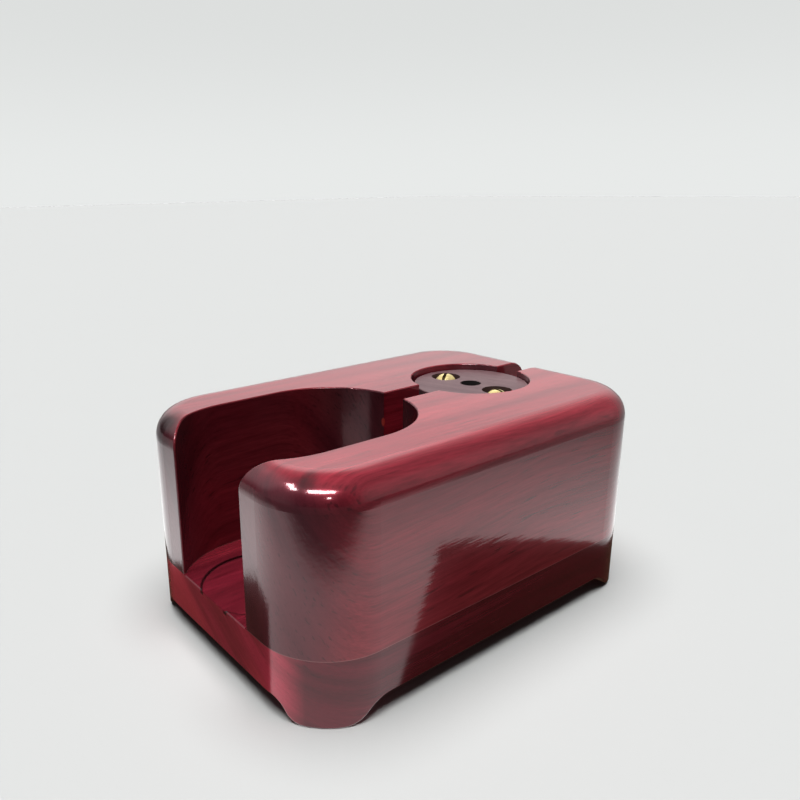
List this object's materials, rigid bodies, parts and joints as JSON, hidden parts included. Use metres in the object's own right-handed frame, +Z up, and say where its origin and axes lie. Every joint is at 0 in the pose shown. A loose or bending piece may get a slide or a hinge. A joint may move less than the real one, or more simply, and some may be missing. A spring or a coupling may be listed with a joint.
{
  "type": "dip pen stand",
  "caption": "Hardwood desk stand on carved bracket feet, with a front-opening ink-bottle bay and a screwed-in round disc whose hole stands a dip pen.",
  "frame": {"origin": "centre of the footprint, at the underside of the feet", "axes": "+X across the stand, +Y along it from the open front of the bottle bay to the back end, +Z up"},
  "size_m": [0.09, 0.131, 0.0635],
  "materials": {
    "base_wood": "lacquered purpleheart",
    "body_wood": "lacquered purpleheart",
    "disc_wood": "satin purpleheart",
    "screw_brass": "polished"
  },
  "bodies": {
    "root": {"base": "base_wood", "body": "body_wood", "pen_disc": "disc_wood", "disc_screws": "screw_brass"}
  },
  "joints": []
}
